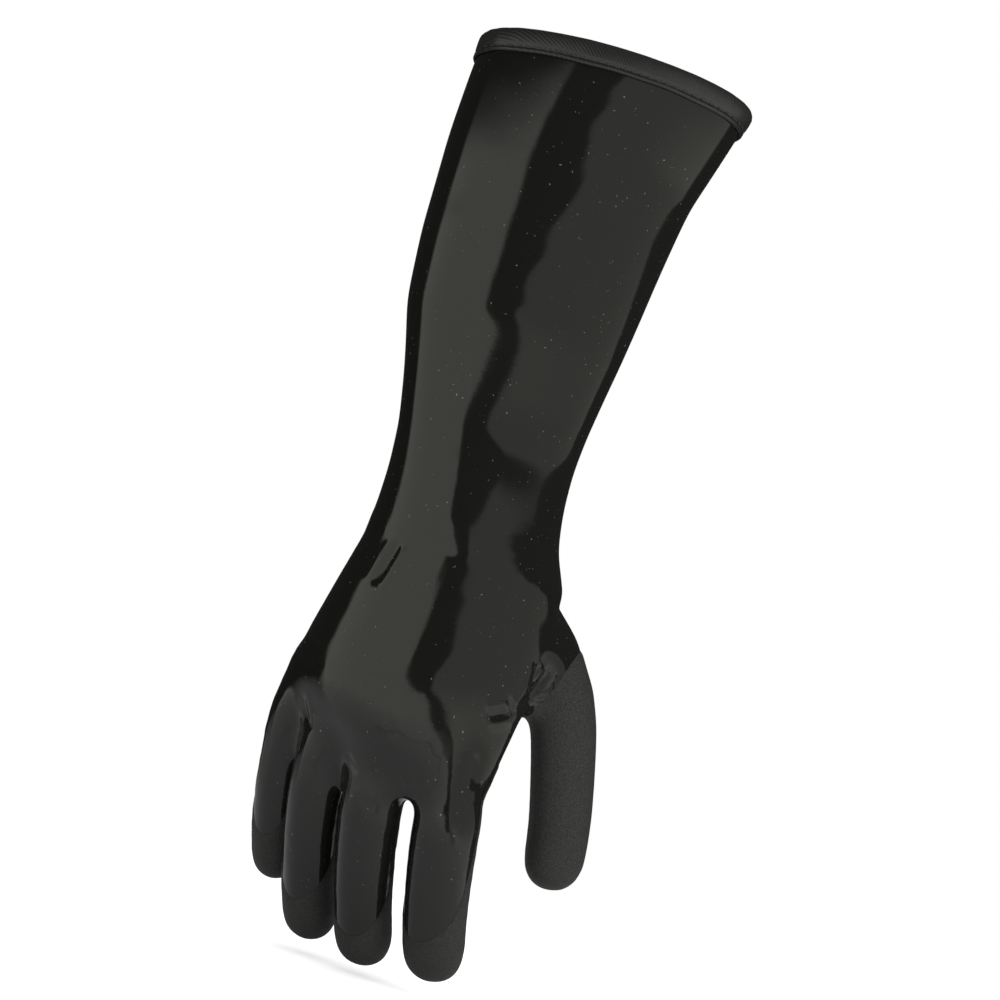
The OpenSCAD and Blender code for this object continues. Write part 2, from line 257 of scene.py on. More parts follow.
def sample(field, p):
    """The field's value at points, by trilinear interpolation."""
    low, value, step = field
    q = np.clip((p - low) / step, 0, np.array(value.shape) - 1.001)
    k = q.astype(int)
    f = q - k
    total = np.zeros(len(p))
    for i in (0, 1):
        for j in (0, 1):
            for m in (0, 1):
                w = (f[:, 0] if i else 1 - f[:, 0]) * (f[:, 1] if j else 1 - f[:, 1])
                w = w * (f[:, 2] if m else 1 - f[:, 2])
                total += w * value[k[:, 0] + i, k[:, 1] + j, k[:, 2] + m]
    return total


def slope(field, p, e=0.8):
    """The field's gradient at points."""
    g = np.zeros_like(p)
    for axis in range(3):
        d = np.zeros(3)
        d[axis] = e
        g[:, axis] = (sample(field, p + d) - sample(field, p - d)) / (2 * e)
    return g


def surface(field):
    """Surface nets: a vertex in each cell the surface crosses, a quad over each crossed edge."""
    low, value, step = field
    neg = value < 0
    cells = np.zeros(np.array(value.shape) - 1, bool)
    count = np.zeros(cells.shape)
    total = np.zeros(cells.shape + (3,))
    edges = []
    for axis in range(3):
        a = [slice(None)] * 3
        b = [slice(None)] * 3
        a[axis], b[axis] = slice(None, -1), slice(1, None)
        cross = neg[tuple(a)] != neg[tuple(b)]
        at = np.argwhere(cross)
        va = value[tuple(at.T)]
        up = at.copy()
        up[:, axis] += 1
        vb = value[tuple(up.T)]
        p = at.astype(float)
        p[:, axis] += va / (va - vb)
        edges.append((axis, at, va < 0))
        o1, o2 = [i for i in range(3) if i != axis]
        for s1 in (0, 1):
            for s2 in (0, 1):
                c = at.copy()
                c[:, o1] -= s1
                c[:, o2] -= s2
                ok = (c >= 0).all(1) & (c < np.array(cells.shape)).all(1)
                idx = tuple(c[ok].T)
                cells[idx] = True
                np.add.at(count, idx, 1)
                np.add.at(total, idx, p[ok])
    number = np.full(cells.shape, -1)
    where = np.argwhere(cells)
    number[tuple(where.T)] = np.arange(len(where))
    co = low + step * total[tuple(where.T)] / count[tuple(where.T)][:, None]
    quads = []
    for axis, at, inside_first in edges:
        o1, o2 = (axis + 1) % 3, (axis + 2) % 3
        corner = []
        ok = np.ones(len(at), bool)
        for s1, s2 in ((0, 0), (1, 0), (1, 1), (0, 1)):
            c = at.copy()
            c[:, o1] -= s1
            c[:, o2] -= s2
            ok &= (c >= 0).all(1) & (c < np.array(cells.shape)).all(1)
            corner.append(c)
        q = np.stack([number[tuple(np.clip(c, 0, np.array(cells.shape) - 1).T)] for c in corner], 1)
        q, flip = q[ok], ~inside_first[ok]
        q[flip] = q[flip][:, ::-1]
        quads.append(q)
    quads = np.vstack(quads)
    a = np.linalg.norm(co[quads[:, 0]] - co[quads[:, 2]], axis=1)
    b = np.linalg.norm(co[quads[:, 1]] - co[quads[:, 3]], axis=1)
    first = a <= b
    tri = np.vstack([
        quads[first][:, [0, 1, 2]], quads[first][:, [0, 2, 3]],
        quads[~first][:, [1, 2, 3]], quads[~first][:, [1, 3, 0]],
    ])
    return co, tri


def relax(co, tri, rounds, share=0.5):
    """Moves each vertex a share of the way to the mean of its neighbours."""
    e = np.vstack([tri[:, [0, 1]], tri[:, [1, 2]], tri[:, [2, 0]]])
    e = e[e[:, 0] < e[:, 1]]
    degree = np.bincount(e.ravel(), minlength=len(co))[:, None]
    for _ in range(rounds):
        total = np.zeros_like(co)
        for k in range(3):
            total[:, k] = np.bincount(e[:, 0], co[e[:, 1], k], len(co))
            total[:, k] += np.bincount(e[:, 1], co[e[:, 0], k], len(co))
        co = co + share * (total / np.maximum(degree, 1) - co)
    return co


def settle(field, co, rounds=3):
    """Moves points onto the field's surface."""
    for _ in range(rounds):
        g = slope(field, co)
        co = co - sample(field, co)[:, None] * g / np.maximum((g * g).sum(1), 0.04)[:, None]
    return co


def normals(co, tri):
    n = np.zeros_like(co)
    f = np.cross(co[tri[:, 1]] - co[tri[:, 0]], co[tri[:, 2]] - co[tri[:, 0]])
    for i in range(3):
        for k in range(3):
            n[:, k] += np.bincount(tri[:, i], f[:, k], len(co))
    return n / np.maximum(np.linalg.norm(n, axis=1, keepdims=True), 1e-12)


# ---- Uneven dip: slow waves in the rubber, and creases where it folds ----

WAVES = []
for _ in range(40):
    w = unit(RNG.normal(size=3)) * 2 * math.pi / RNG.uniform(32, 80)
    WAVES.append((w * np.array([1, 1, 0.55]), RNG.uniform(0, 2 * math.pi)))


def waves(p, first=0, last=40):
    return sum(np.sin(p @ w + a) for w, a in WAVES[first:last]) / math.sqrt((last - first) / 2)


def sculpt(co, n):
    """How far each point of the outer surface moves along its normal."""
    z = co[:, 2]
    hand = smooth(-z, 200, 240)
    move = waves(co) * (0.26 - 0.06 * hand - 0.1 * smooth(z, -70, -30))
    for ax, az, bx, bz, width, depth, back in CREASES:
        a, way = np.array([ax, az]), np.array([bx - ax, bz - az])
        p = co[:, [0, 2]] - a
        t = np.clip(p @ way / (way @ way), 0, 1)
        side = p - t[:, None] * way
        gap = np.linalg.norm(side, axis=1) / width
        fade = np.sqrt(np.clip(4 * t * (1 - t), 0, 1)) * smooth(-n[:, 1] * back, -0.2, 0.3)
        move = move - fade * depth * np.exp(-gap**2)
        move = move + fade * 0.45 * depth * np.exp(-((gap - 1.7) ** 2))
    return move


# Folds where the rubber bends, as [x, z, x, z, width, depth, side]: side 1 is the back of the hand.
CREASES = [
    (38, -266, 45.5, -245, 1.6, 1.1, 1), (40, -257, 40.5, -245, 1.1, 0.8, 1),
    (46.5, -255, 48.5, -246, 1.1, 0.7, 1), (27.5, -270.5, 35, -266, 1.9, 1.0, 1),
    (33, -261, 37, -267, 1.2, 0.5, 1), (43, -259, 49, -256, 1.0, 0.6, 1),
    (27, -286, 30, -299, 1.8, 0.4, 1),
    (-49, -284, -41, -297, 1.3, 0.5, 1), (-23, -301, -16, -307, 1.2, 0.4, 1),
    (1, -301, 7, -309, 1.2, 0.5, 1), (9, -301, 8, -310, 1.0, 0.4, 1),
    (-27.5, -214, -32.5, -233, 2.1, 1.0, 1),
    (-30, -206, 24, -209, 2.4, 0.35, -1), (-28, -196, 20, -193, 2.6, 0.3, -1),
    (-20, -160, 8, -164, 3.0, 0.3, -1), (8, -262, 38, -250, 2.4, 0.6, -1),
    (-10, -284, 30, -268, 2.6, 0.5, -1),
]


def part_fingers(low, value, step):
    """Keeps neighbouring fingers apart below their web, so that each can bend by itself."""
    cells = np.argwhere(value < 1)
    p = low + cells * step
    below = p[:, 2] < -298
    cells, p = cells[below], p[below]
    for a, b in zip(DIGITS[:3], DIGITS[1:4]):
        web = (LINE[a]["points"][0][2] + LINE[b]["points"][0][2]) / 2
        room = along(a, p)[0] - LINE[a]["radius"] - along(b, p)[0] + LINE[b]["radius"]
        open_ = smooth(web - p[:, 2], 7, 13)
        slit = 0.95 * open_ - 4 * (1 - open_) - np.abs(room) / 2
        at = tuple(cells.T)
        value[at] = np.maximum(value[at], slit)
    return value


def palmward():
    """The level direction out of the palm."""
    across = unit(np.mean([hinge(f"{d}_root_bend")[1] for d in DIGITS[:4]], axis=0))
    return unit(np.cross([0, 0, 1], across))


def make_body(step):
    """The whole outer surface, sculpted: points, triangles and normals."""
    low, raw = outer_field(step)
    fine = blur(raw, 1.5 / step)
    wide = blur(raw, 2.75 / step)
    z = low[2] + np.arange(raw.shape[2]) * step
    x = low[0] + np.arange(raw.shape[0])[:, None, None] * step
    roots = sorted((tuple(LINE[d]["points"][0]) for d in DIGITS[:4]))
    edge = np.interp(x, [p[0] for p in roots], [-p[2] for p in roots])
    w = smooth(-z, 205, 240) * (1 - smooth(-z, edge - 6, edge + 10))
    value = fine * (1 - w) + wide * w
    # The gauntlet is smoothed further: the CAD tube's flat strips would show in the gloss.
    tube = smooth(z, -222, -190) * (1 - smooth(z, -10, -3))
    value = value * (1 - tube) + blur(raw, 4.4 / step) * tube
    field = (low, part_fingers(low, value, step), step)
    co, tri = surface(field)
    co = settle(field, relax(co, tri, 3))
    co = settle(field, relax(co, tri, 2, 0.3), 2)
    # The back of the hand runs smoothly on into the fingers.
    n = normals(co, tri)
    back = -palmward()
    share = smooth(n @ back, 0.15, 0.6) * smooth(-co[:, 2], 258, 280)
    share = share * (1 - smooth(-co[:, 2], 308, 326))
    near = np.flatnonzero((share[tri] > 0).any(1))
    part, inverse = np.unique(tri[near], return_inverse=True)
    inverse = inverse.reshape(-1, 3)
    share = share[part, None]
    knuckles = co[part]
    for _ in range(int(110 / step**2)):
        knuckles = knuckles + share * (relax(knuckles, inverse, 1) - knuckles)
    co[part] = knuckles
    n = normals(co, tri)
    co = co + n * sculpt(co, n)[:, None]
    return co, tri, normals(co, tri)


# ---- Cutting the surface into pieces ----


def clip(m, f):
    """The part of a surface where f, given at its points, is positive."""
    co, tri, n = m
    used = np.unique(tri)
    side = np.zeros(len(co), int)
    side[used] = np.sign(f[used]).astype(int)
    s = side[tri]
    keep = s.max(1) > 0
    whole = keep & (s.min(1) >= 0)
    split = np.flatnonzero(keep & (s.min(1) < 0))
    made = {}
    new_co, new_n = [], []

    def crossing(a, b):
        key = (a, b) if a < b else (b, a)
        if key not in made:
            a, b = key
            t = f[a] / (f[a] - f[b])
            made[key] = len(co) + len(new_co)
            new_co.append(co[a] + t * (co[b] - co[a]))
            new_n.append(n[a] + t * (n[b] - n[a]))
        return made[key]

    extra = []
    for i in split:
        poly = []
        for k in range(3):
            a, b = int(tri[i, k]), int(tri[i, (k + 1) % 3])
            if side[a] >= 0:
                poly.append(a)
            if side[a] * side[b] < 0:
                poly.append(crossing(a, b))
        for k in range(1, len(poly) - 1):
            extra.append((poly[0], poly[k], poly[k + 1]))
    out = tri[whole]
    if extra:
        out = np.vstack([out, np.array(extra)])
        if new_co:
            co = np.vstack([co, np.array(new_co)])
            n = np.vstack([n, unit(np.array(new_n))])
    return co, out, n


def tidy(m):
    """Drops unused points."""
    co, tri, n = m
    used, inverse = np.unique(tri, return_inverse=True)
    return co[used], inverse.reshape(-1, 3), n[used]


def plane(m, point, normal):
    return (m[0] - point) @ unit(np.asarray(normal, float))


def snap_plane(m, point, normal, reach, only=None):
    """Moves points near a plane onto it, within the surface, so that a cut leaves no slivers."""
    co, tri, n = m
    normal = unit(np.asarray(normal, float))
    f = (co - point) @ normal
    near = np.abs(f) < reach
    if only is not None:
        near &= only
    t = normal - (n @ normal)[:, None] * n
    down = np.maximum(t @ normal, 0.3)
    co = co.copy()
    co[near] -= (f / down)[near, None] * t[near]
    exact = (co - point) @ normal
    co[near] -= exact[near, None] * normal
    return co, tri, n


def both(m, point, normal, mine=None):
    """The parts of a surface ahead of a plane and behind it, cutting only the triangles mine."""
    f = plane(m, point, normal)
    f = np.where(np.abs(f) < 1e-6, 0.0, f)
    if mine is None:
        return tidy(clip(m, f)), tidy(clip(m, -f))
    rest = m[1][~mine]
    ahead = clip((m[0], m[1][mine], m[2]), f)
    co, tri, n = clip((m[0], m[1][mine], m[2]), -f)
    behind = (co, np.vstack([tri, rest]), n)
    return tidy(ahead), tidy(behind)


def nearest_digit(p):
    return np.stack([along(d, p)[0] / LINE[d]["radius"] for d in DIGITS], 1).argmin(1)


# Lengths along each digit: where its root piece starts, then for each crease the length of the
# stretch that bends.
REACH = {d: [20.0, 19.0, 13.5] for d in DIGITS}
REACH["little"] = [18.5, 17.5, 12.5]
REACH["thumb"] = [21.0, 24.0]
ROOT_GAP = 2.0
SNAP = 0.45


def stations(d):
    """Distances along a digit of its root, its pivots and its tip."""
    steps = np.linalg.norm(np.diff(LINE[d]["points"], axis=0), axis=1)
    return np.concatenate([[0], np.cumsum(steps)])


def digit_cuts(d):
    """For each crease: (cut before it, start, end of the bend) as distances along the digit."""
    out = []
    for i, s in enumerate(stations(d)[1:-1]):
        half = REACH[d][i] / 2
        start, end = s - half, s + half
        cut = ROOT_GAP if i == 0 else (out[-1][2] + start) / 2
        out.append((max(cut, 0.5), max(start, cut + 0.2), end))
    return out


def point_at(d, s):
    pts, at = LINE[d]["points"], stations(d)
    i = int(np.clip(np.searchsorted(at, s) - 1, 0, len(pts) - 2))
    t = (s - at[i]) / (at[i + 1] - at[i])
    return pts[i] + t * (pts[i + 1] - pts[i])


def direction_at(d, i):
    """A digit's direction at a crease, halfway between those before and after it."""
    pts = LINE[d]["points"]
    return unit(unit(pts[i + 1] - pts[i]) + unit(pts[i + 2] - pts[i + 1]))


def bodies_of(d):
    if d == "thumb":
        return ["hand", "thumb_base", "thumb_tip"]
    return ["hand", d + "_base", d + "_middle", d + "_tip"]


WRIST_BEND = hinge("wrist_bend")[0]
WRIST_SWING = hinge("wrist_swing")[0]
# Heights: the cut above a stretch, and the start and end of its bend.
WRIST_CUTS = [
    (-146.0, WRIST_BEND[2] + 18.3, WRIST_BEND[2] - 18.3),
    (-184.5, WRIST_SWING[2] + 14.6, WRIST_SWING[2] - 14.4),
    (-215.2, None, None),
]


def split_all(m):
    """Every piece of a surface, as (name, mesh, how it is carried)."""
    pieces = []
    down = (0, 0, -1)
    for z, _, _ in WRIST_CUTS:
        m = snap_plane(m, (0, 0, z), down, SNAP)
    rest = m
    parts = []
    for z, _, _ in WRIST_CUTS:
        rest, above = both(rest, (0, 0, z), down)
        parts.append(above)
    pieces.append(("gauntlet", parts[0], ("ride", "gauntlet")))
    wrists = (("wrist_upper", "gauntlet", "wrist"), ("wrist_lower", "wrist", "hand"))
    for i, (name, a, b) in enumerate(wrists):
        _, start, end = WRIST_CUTS[i]
        pivot = (WRIST_BEND, WRIST_SWING)[i]
        carried = ("blend", a, b, (pivot[0], 0, start), (pivot[0], 0, end))
        pieces.append((name, parts[i + 1], carried))
    for di, d in enumerate(DIGITS):
        cuts = digit_cuts(d)
        point = point_at(d, cuts[0][0])
        normal = LINE[d]["normal"]
        rest = snap_plane(rest, point, normal, SNAP, nearest_digit(rest[0]) == di)
        mine = nearest_digit(rest[0][rest[1]].mean(1)) == di
        digit, rest = both(rest, point, normal, mine)
        for i in range(len(cuts)):
            _, start, end = cuts[i]
            bodies = bodies_of(d)
            dirn = direction_at(d, i)
            pivot = LINE[d]["points"][i + 1]
            half0 = (pivot - point_at(d, start)) @ dirn
            half1 = (point_at(d, end) - pivot) @ dirn
            carried = ("blend", bodies[i], bodies[i + 1], pivot - dirn * half0, pivot + dirn * half1)
            if i + 1 < len(cuts):
                s = cuts[i + 1][0]
                dn = unit(dirn + direction_at(d, i + 1))
                digit = snap_plane(digit, point_at(d, s), dn, SNAP)
                digit, piece = both(digit, point_at(d, s), dn)
            else:
                piece = digit
            name = ["root", "middle", "tip"][i] if d != "thumb" else ["root", "tip"][i]
            pieces.append((f"{d}_{name}", piece, carried))
    pieces.append(("hand", rest, ("ride", "hand")))
    return pieces


# ---- Turning surfaces into closed, thick pieces ----


def border(tri):
    """Directed edges that only one triangle uses."""
    e = np.vstack([tri[:, [0, 1]], tri[:, [1, 2]], tri[:, [2, 0]]])
    key = np.sort(e, 1)
    _, first, count = np.unique(key, axis=0, return_index=True, return_counts=True)
    return e[first[count == 1]]


def thick(name, m, out, into):
    """A closed mesh between two offsets of a surface, with the surface's own normals."""
    co, tri, n = m
    out = np.broadcast_to(out, len(co))
    into = np.broadcast_to(into, len(co))
    size = len(co)
    verts = np.vstack([co + n * out[:, None], co + n * into[:, None]]) / 1000
    e = border(tri)
    rim = np.stack([e[:, 1], e[:, 0], e[:, 0] + size, e[:, 1] + size], 1)
    faces = [*tri.tolist(), *(tri[:, ::-1] + size).tolist(), *rim.tolist()]
    me = bpy.data.meshes.new(name)
    me.from_pydata(verts.tolist(), [], faces)
    me.polygons.foreach_set("use_smooth", [True] * len(faces))
    flat = np.cross(
        verts[rim[:, 1]] - verts[rim[:, 0]], verts[rim[:, 3]] - verts[rim[:, 0]]
    )
    flat /= np.maximum(np.linalg.norm(flat, axis=1, keepdims=True), 1e-12)
    loops = np.vstack([
        n[tri].reshape(-1, 3), -n[tri[:, ::-1]].reshape(-1, 3), np.repeat(flat, 4, 0)
    ])
    me.normals_split_custom_set(loops.tolist())
    me.update()
    ob = bpy.data.objects.new(name, me)
    bpy.context.scene.collection.objects.link(ob)
    return ob


def carry(ob, how):
    if how[0] == "ride":
        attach(ob, how[1])
    else:
        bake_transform(ob)


# ---- Materials ----


def material(name):
    mat = bpy.data.materials.new(name)
    mat.use_nodes = True
    tree = mat.node_tree
    return mat, tree, tree.nodes["Principled BSDF"]


def node(tree, kind, **values):
    made = tree.nodes.new(kind)
    for k, v in values.items():
        if k in made.inputs:
            made.inputs[k].default_value = v
        else:
            setattr(made, k, v)
    return made


def bump(tree, shader, height, strength, distance):
    b = node(tree, "ShaderNodeBump", Strength=strength, Distance=distance)
    tree.links.new(height, b.inputs["Height"])
    tree.links.new(b.outputs["Normal"], shader.inputs["Normal"])
    return b


def skin_material():
    mat, t, s = material("dipped_skin")
    where = node(t, "ShaderNodeTexCoord").outputs["Object"]
    s.inputs["Roughness"].default_value = 0.07
    s.inputs["IOR"].default_value = 1.5
    peel = node(t, "ShaderNodeTexNoise", Scale=900.0, Detail=2.0)
    t.links.new(where, peel.inputs["Vector"])
    wave = node(t, "ShaderNodeTexNoise", Scale=60.0, Detail=1.0)
    t.links.new(where, wave.inputs["Vector"])
    mix = node(t, "ShaderNodeMath", operation="MULTIPLY_ADD")
    t.links.new(wave.outputs["Fac"], mix.inputs[0])
    mix.inputs[1].default_value = 7.0
    t.links.new(peel.outputs["Fac"], mix.inputs[2])
    bump(t, s, mix.outputs[0], 0.14, 0.00004)
    lint = node(t, "ShaderNodeTexNoise", Scale=700.0, Detail=1.0)
    t.links.new(where, lint.inputs["Vector"])
    ramp = node(t, "ShaderNodeValToRGB")
    ramp.color_ramp.elements[0].position = 0.745
    ramp.color_ramp.elements[0].color = (0.0075, 0.0075, 0.0068, 1)
    ramp.color_ramp.elements[1].position = 0.8
    ramp.color_ramp.elements[1].color = (0.12, 0.12, 0.11, 1)
    t.links.new(lint.outputs["Fac"], ramp.inputs["Fac"])
    t.links.new(ramp.outputs["Color"], s.inputs["Base Color"])
    return mat


def coat_material():
    mat, t, s = material("grip_coat")
    where = node(t, "ShaderNodeTexCoord").outputs["Object"]
    s.inputs["Roughness"].default_value = 0.62
    s.inputs["IOR"].default_value = 1.4
    grit = node(t, "ShaderNodeTexNoise", Scale=1600.0, Detail=3.0, Roughness=0.7)
    t.links.new(where, grit.inputs["Vector"])
    ramp = node(t, "ShaderNodeValToRGB")
    ramp.color_ramp.elements[0].position = 0.35
    ramp.color_ramp.elements[0].color = (0.013, 0.013, 0.0123, 1)
    ramp.color_ramp.elements[1].position = 0.72
    ramp.color_ramp.elements[1].color = (0.038, 0.038, 0.036, 1)
    t.links.new(grit.outputs["Fac"], ramp.inputs["Fac"])
    t.links.new(ramp.outputs["Color"], s.inputs["Base Color"])
    bump(t, s, grit.outputs["Fac"], 0.8, 0.0003)
    return mat


def liner_material():
    mat, t, s = material("liner_knit")
    where = node(t, "ShaderNodeTexCoord").outputs["Object"]
    s.inputs["Roughness"].default_value = 0.95
    rib = node(t, "ShaderNodeTexWave", Scale=260.0, Distortion=1.5, Detail=1.0)
    rib.bands_direction = "Z"
    t.links.new(where, rib.inputs["Vector"])
    ramp = node(t, "ShaderNodeValToRGB")
    ramp.color_ramp.elements[0].color = (0.42, 0.39, 0.33, 1)
    ramp.color_ramp.elements[1].color = (0.68, 0.65, 0.58, 1)
    t.links.new(rib.outputs["Fac"], ramp.inputs["Fac"])
    t.links.new(ramp.outputs["Color"], s.inputs["Base Color"])
    bump(t, s, rib.outputs["Fac"], 0.6, 0.0003)
    return mat


def tape_material():
    mat, t, s = material("binding_tape")
    where = node(t, "ShaderNodeTexCoord").outputs["Object"]
    s.inputs["Roughness"].default_value = 0.33
    weave = node(t, "ShaderNodeTexWave", Scale=420.0, Distortion=0.6)
    weave.bands_direction = "DIAGONAL"
    t.links.new(where, weave.inputs["Vector"])
    ramp = node(t, "ShaderNodeValToRGB")
    ramp.color_ramp.elements[0].color = (0.008, 0.008, 0.008, 1)
    ramp.color_ramp.elements[1].color = (0.02, 0.02, 0.019, 1)
    t.links.new(weave.outputs["Fac"], ramp.inputs["Fac"])
    t.links.new(ramp.outputs["Color"], s.inputs["Base Color"])
    bump(t, s, weave.outputs["Fac"], 0.4, 0.0001)
    return mat


def thread_material():
    mat, t, s = material("thread")
    where = node(t, "ShaderNodeTexCoord").outputs["Object"]
    s.inputs["Roughness"].default_value = 0.6
    twist = node(t, "ShaderNodeTexNoise", Scale=2500.0, Detail=2.0)
    t.links.new(where, twist.inputs["Vector"])
    ramp = node(t, "ShaderNodeValToRGB")
    ramp.color_ramp.elements[0].color = (0.012, 0.012, 0.012, 1)
    ramp.color_ramp.elements[1].color = (0.05, 0.05, 0.048, 1)
    t.links.new(twist.outputs["Fac"], ramp.inputs["Fac"])
    t.links.new(ramp.outputs["Color"], s.inputs["Base Color"])
    return mat


MATS = {
    "dipped_skin": skin_material(), "grip_coat": coat_material(), "liner_knit": liner_material(),
    "binding_tape": tape_material(), "thread": thread_material(),
}


def finish_piece(ob, slot, how, nodes):
    ob.data.materials.clear()
    ob.data.materials.append(MATS[slot])
    carry(ob, how)
    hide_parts(*nodes)


# ---- Build ----

body = make_body(GRID)

skin_nodes = {
    "gauntlet": ["gauntlet_skin"], "wrist_upper": ["wrist_skin"], "wrist_lower": ["wrist_skin"],
    "hand": ["hand_skin"],
}
for d in DIGITS:
    for k in ("root", "middle", "tip"):
        skin_nodes[f"{d}_{k}"] = [d + "_skin"]

rim_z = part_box("gauntlet_skin")[1].z * 1000
body = snap_plane(body, (0, 0, rim_z), (0, 0, -1), 0.4)
body = both(body, (0, 0, rim_z), (0, 0, -1))[0]
skin_pieces = split_all(body)
for name, m, how in skin_pieces:
    ob = thick("skin_" + name, m, 0.0, -SKIN)
    finish_piece(ob, "dipped_skin", how, skin_nodes[name])

# Grip coat: what lies past the bath's level, towards the palm, and the whole thumb.
PALM = palmward()
coats = [d + "_grip_coat" for d in DIGITS[:4]]
level = min((arrays(n)[0] @ PALM).min() for n in coats)
thumb_root = LINE["thumb"]["points"][0]


def coat_field(co, n):
    web = smooth(co[:, 0], 18, 36) * (1 - smooth(-co[:, 2], 292, 318))
    bath = co @ PALM - level - 13 * web
    # The palm side of the finger roots lies behind the bath's level, and is coated all the same.
    roots = smooth(-co[:, 2], 270, 290) * (1 - smooth(-co[:, 2], 330, 350))
    bath = np.maximum(bath, (7 * (n @ PALM) - 2.5) * roots - 20 * (1 - roots))
    slant = unit(np.array([0.931, 0, -0.364]))
    thumb = np.minimum((co - thumb_root) @ slant + 13, co[:, 0] - thumb_root[0] + 16)
    top = -(co[:, 2] + 219 + 1.25 * np.maximum(co[:, 0] - 14, 0))
    f = np.maximum(np.minimum(bath, top), np.minimum(thumb, 12))
    return f + 0.7 * waves(co * 1.6, 0, 12)


coat_nodes = {"hand": ["palm_grip_coat"]}
for d in DIGITS:
    for k in ("root", "middle", "tip"):
        coat_nodes[f"{d}_{k}"] = [d + "_grip_coat"]
for name, m, how in skin_pieces:
    if name not in coat_nodes:
        continue
    f = coat_field(m[0], m[2])
    f[np.abs(f) < 0.05] = 0.0
    part = tidy(clip(m, f))
    if len(part[1]) == 0:
        continue
    g = coat_field(part[0], part[2])
    ob = thick("coat_" + name, part, 0.06 + COAT * smooth(g, -0.3, 1.4), 0.02)
    finish_piece(ob, "grip_coat", how, coat_nodes[name])

# Liner: the same pieces further in, with fewer triangles.
liner_nodes = {
    "gauntlet": ["gauntlet_liner_back", "gauntlet_liner_palm"], "wrist_upper": ["wrist_liner"],
    "wrist_lower": ["wrist_liner"], "hand": ["hand_liner_back", "hand_liner_palm"],
    "thumb_root": ["thumb_liner_base"], "thumb_tip": ["thumb_liner_tip"],
}
for d in DIGITS[:4]:
    for k, n in (("root", "base"), ("middle", "middle"), ("tip", "tip")):
        liner_nodes[f"{d}_{k}"] = [f"{d}_liner_{n}"]
for name, m, how in skin_pieces:
    ob = thick("liner_" + name, m, -SKIN - GAP, -SKIN - GAP - LINER)
    fewer = ob.modifiers.new("fewer", "DECIMATE")
    fewer.ratio = 0.3
    bpy.context.view_layer.update()
    thinned = ob.evaluated_get(bpy.context.evaluated_depsgraph_get())
    ob.data = bpy.data.meshes.new_from_object(thinned)
    ob.modifiers.clear()
    finish_piece(ob, "liner_knit", how, liner_nodes[name])

# ---- Cuff binding and stitches ----

TREE = BVHTree.FromPolygons(body[0].tolist(), body[1].tolist())
rim_centre = (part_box("cuff_binding")[0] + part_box("cuff_binding")[1]) * 500


def rim_point(angle, z):
    """The skin's outside at an angle round the cuff, and the outward direction there."""
    way = Vector((math.cos(angle), math.sin(angle), 0))
    start = Vector((rim_centre.x, rim_centre.y, min(z, rim_z - 1.5)))
    hit, n, _, _ = TREE.ray_cast(start, way)
    return Vector((hit.x, hit.y, z)), Vector((n.x, n.y, 0)).normalized()


def ring_mesh(name, profile, count):
    m = len(profile)
    verts, faces = [], []
    for i in range(count):
        angle = 2 * math.pi * i / count
        for off, z in profile:
            wob = 0.12 * math.sin(5 * angle + 1) + 0.1 * math.sin(11 * angle)
            p, n = rim_point(angle, z + (wob if z < -7 else 0))
            q = p + n * off
            verts.append((q.x / 1000, q.y / 1000, q.z / 1000))
    for i in range(count):
        k = (i + 1) % count
        for j in range(m):
            l = (j + 1) % m
            faces.append((i * m + j, i * m + l, k * m + l, k * m + j))
    me = bpy.data.meshes.new(name)
    me.from_pydata(verts, [], faces)
    me.polygons.foreach_set("use_smooth", [True] * len(faces))
    me.update()
    ob = bpy.data.objects.new(name, me)
    bpy.context.scene.collection.objects.link(ob)
    return ob


# The tape's section as [outwards from the skin, height]: over the rim and down both sides.
PROFILE = [
    (0.08, -10.2), (0.5, -10.4), (1.05, -10.2), (1.4, -9.6), (1.35, -9.0), (0.85, -8.6), (0.85, -8.1),
    (1.2, -7.7), (1.45, -6.4), (1.5, -4.2), (1.45, -2.4), (1.25, -1.2), (0.8, -0.45), (0.1, -0.1),
    (-0.8, 0.0), (-1.7, -0.1), (-2.5, -0.5), (-3.0, -1.3), (-3.15, -3.5), (-3.15, -7.8),
    (-2.42, -7.9), (-2.42, -1.2), (-1.2, -0.9), (0.08, -1.2),
]
binding = ring_mesh("cuff_binding_tape", PROFILE, 220)
finish_piece(binding, "binding_tape", ("ride", "gauntlet"), ["cuff_binding"])


def capsule(a, b, up, r, verts, faces):
    """A rod with rounded ends from a to b, added to verts and faces."""
    way = (b - a).normalized()
    side = way.cross(up).normalized()
    up = side.cross(way).normalized()
    rows = [(-0.5, 0.35), (-0.42, 0.85), (-0.2, 1.0), (0.2, 1.0), (0.42, 0.85), (0.5, 0.35)]
    base = len(verts)
    length = (b - a).length
    mid = (a + b) / 2
    for t, k in rows:
        for i in range(8):
            w = 2 * math.pi * i / 8
            p = mid + way * t * length + (side * math.cos(w) + up * math.sin(w)) * r * k
            verts.append((p.x / 1000, p.y / 1000, p.z / 1000))
    for j in range(len(rows) - 1):
        for i in range(8):
            k = (i + 1) % 8
            row, above = base + j * 8, base + j * 8 + 8
            faces.append((row + i, row + k, above + k, above + i))
    faces.append(tuple(base + i for i in range(7, -1, -1)))
    last = base + 8 * (len(rows) - 1)
    faces.append(tuple(last + i for i in range(8)))


